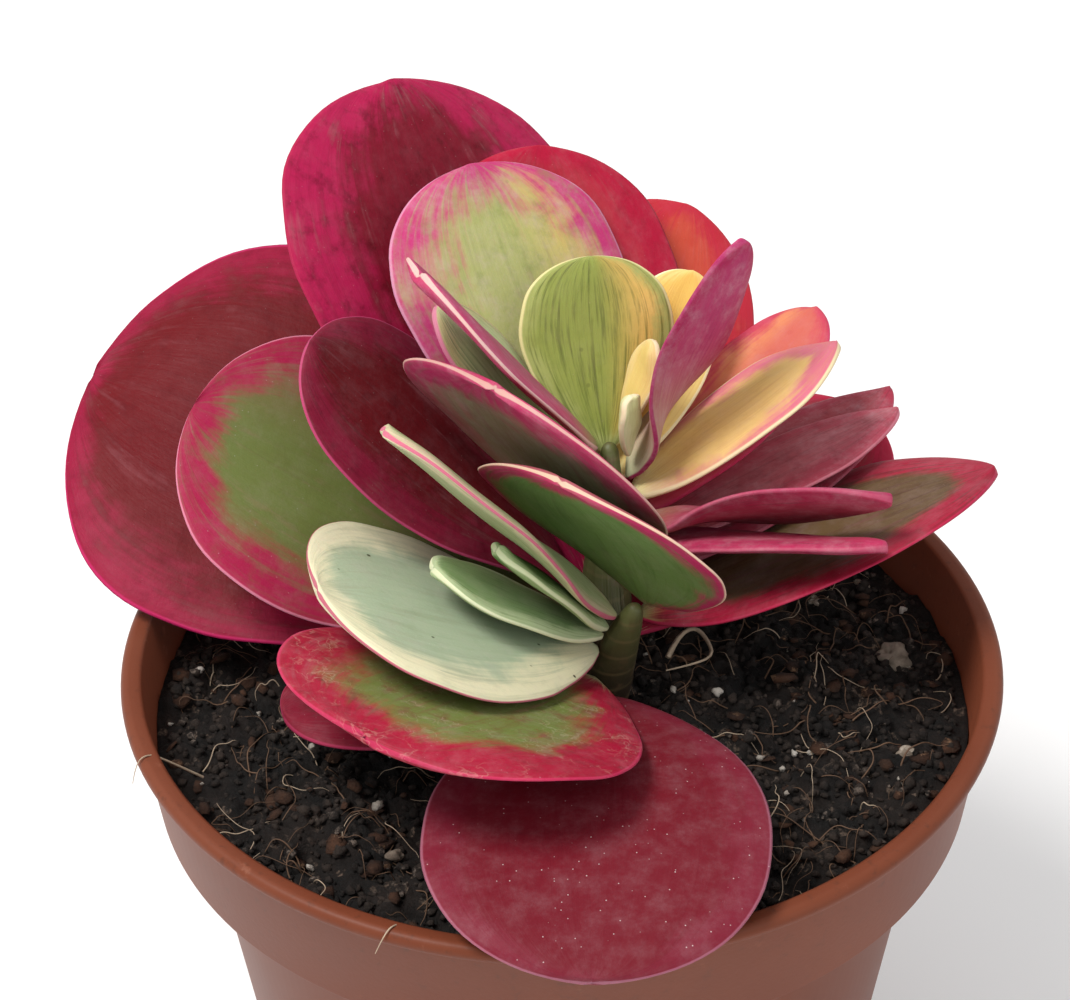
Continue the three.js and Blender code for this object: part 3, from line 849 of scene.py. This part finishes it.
# ---- Right-hand leaves ----------------------------------------------------------------------------
# Leaves that lean out over the right of the pot, seen edge on: dusty pink undersides over one long
# olive-brown paddle with a bright crimson edge.
paddle_leaf(
    "right_great_leaf", core="5e4a30", blush="9a1634", rim="a82044", under="7a2a38", side="88404a",
    dark="42241c", reach=4, softness=5, tip_reach=12, rim_width=0.9, foot_reach=0.15, foot="8c8c54",
    mottle=0.35, streak=0.6, bloom=0.12, gloss=0.16, pointed=0.75,
)
paddle_leaf(
    "right_pink_leaf", core="9c4050", blush="a8305a", rim="b04864", under="a03c50",
    under_blush="a42c4c", foot="847c44", dark="6c2a38", reach=4, softness=5, foot_reach=0.35,
    mottle=0.35, streak=0.5, bloom=0.3, pointed=0.75,
)
paddle_leaf(
    "right_rosy_leaf", core="a83a54", blush="b03058", rim="b04864", under="a43a54",
    under_blush="a82c50", foot="98905c", dark="74283c", reach=3, softness=5, foot_reach=0.3,
    mottle=0.35, streak=0.4, bloom=0.35, pointed=0.75,
)
paddle_leaf(
    "right_brown_leaf", core="b0606a", blush="b04a5c", rim="c47080", under="a05058", dark="703038",
    foot="c4b080", reach=4, softness=5, foot_reach=0.3, mottle=0.4, streak=0.5, bloom=0.4, pointed=0.75,
)
paddle_leaf(
    "right_dark_leaf", core="98404a", blush="a03448", rim="ac4c60", under="8c3a44", dark="5a1c28",
    reach=4, softness=5, mottle=0.4, streak=0.4, bloom=0.3, pointed=0.75,
)

# ---- Young leaves of the front stem ---------------------------------------------------------------
# The newest leaves are still folded together like hands: green with a cream edge, the outermost one
# already rimmed with magenta.
paddle_leaf(
    "young_folded_leaf", core="648648", blush="b02a5c", rim="d8b8a0", under="58753f",
    under_blush="a85060", foot="8ca06a", dark="45662c", reach=2.4, softness=4, tip_reach=5,
    rim_width=0.6, foot_reach=0.15, mottle=0.25, streak=0.5, bloom=0.1, gloss=0.16, leans_back=True,
    pointed=0.5,
)
paddle_leaf(
    "young_upright_leaf", core="aab484", blush="c8b898", rim="c86a80", under="a8b488",
    under_blush="d0c8a4", dark="6c8048", reach=2, softness=3, rim_width=0.5, foot_reach=0.2, mottle=0.2,
    streak=0.5, bloom=0.15, pointed=0.5,
)
paddle_leaf(
    "young_outer_leaf", core="7d9664", blush="aebd92", rim="d8dcb8", dark="4f6a38", reach=1.5,
    softness=2, rim_width=0.5, mottle=0.15, streak=0.4, bloom=0.15,
)
paddle_leaf(
    "young_inner_leaf", core="6c8c50", blush="a4b888", rim="d0d8b0", dark="42602c", reach=1.5,
    softness=2, rim_width=0.5, mottle=0.15, streak=0.4, bloom=0.1,
)

# ---- Where it stands, light and camera ------------------------------------------------------------
# A plain pale table top under soft daylight from a window at the left, with a weak fill from the
# right, seen from the front and a little above. None of it is part of the plant.
bm = bmesh.new()
bmesh.ops.create_grid(bm, x_segments=1, y_segments=1, size=3.0)
table_paint, n, shader = new_finish("pale_table")
shader.inputs["Base Color"].default_value = (0.93, 0.93, 0.93, 1)
shader.inputs["Roughness"].default_value = 0.8
table = smooth_object("table_top", bm, table_paint)

sky = bpy.data.worlds.new("soft_room")
sky.use_nodes = True
sky.node_tree.nodes["Background"].inputs["Color"].default_value = (1, 1, 1, 1)
sky.node_tree.nodes["Background"].inputs["Strength"].default_value = 0.72
bpy.context.scene.world = sky


def soft_light(name, place, aim, size, power, tint):
    """A round area light at a place, turned to what it is aimed at."""
    lamp = bpy.data.lights.new(name, "AREA")
    lamp.shape = "DISK"
    lamp.size = size
    lamp.energy = power
    lamp.color = tint
    made = bpy.data.objects.new(name, lamp)
    bpy.context.scene.collection.objects.link(made)
    made.location = place
    made.rotation_euler = (Vector(aim) - Vector(place)).to_track_quat("-Z", "Y").to_euler()


PLANT_MIDDLE = (0, 0, 0.1)
soft_light("window", (-0.4, -0.15, 0.9), PLANT_MIDDLE, 0.35, 7.5, (1, 0.98, 0.95))
soft_light("room_fill", (0.5, -0.7, 0.6), PLANT_MIDDLE, 0.8, 1.6, (0.96, 0.98, 1))

camera_data = bpy.data.cameras.new("view")
camera_data.sensor_width = 36
camera_data.sensor_fit = "HORIZONTAL"
camera_data.lens = 94.2
pitch, roll = math.radians(35.4), math.radians(-0.86)
distance, aside, above = 0.383, 0.00357, 0.01972
forward = Vector((0, math.cos(pitch), -math.sin(pitch)))
right = Vector((math.cos(roll), math.sin(pitch) * math.sin(roll), math.cos(pitch) * math.sin(roll)))
up = right.cross(forward)
rim_centre = Vector((0, 0, RIM_HEIGHT * MM))
spot = rim_centre - forward * distance - right * aside + up * above
camera = bpy.data.objects.new("camera", camera_data)
camera.matrix_world = Matrix.Translation(spot) @ Matrix((right, up, -forward)).transposed().to_4x4()
bpy.context.scene.collection.objects.link(camera)
bpy.context.scene.camera = camera
bpy.context.scene.view_settings.view_transform = "Standard"
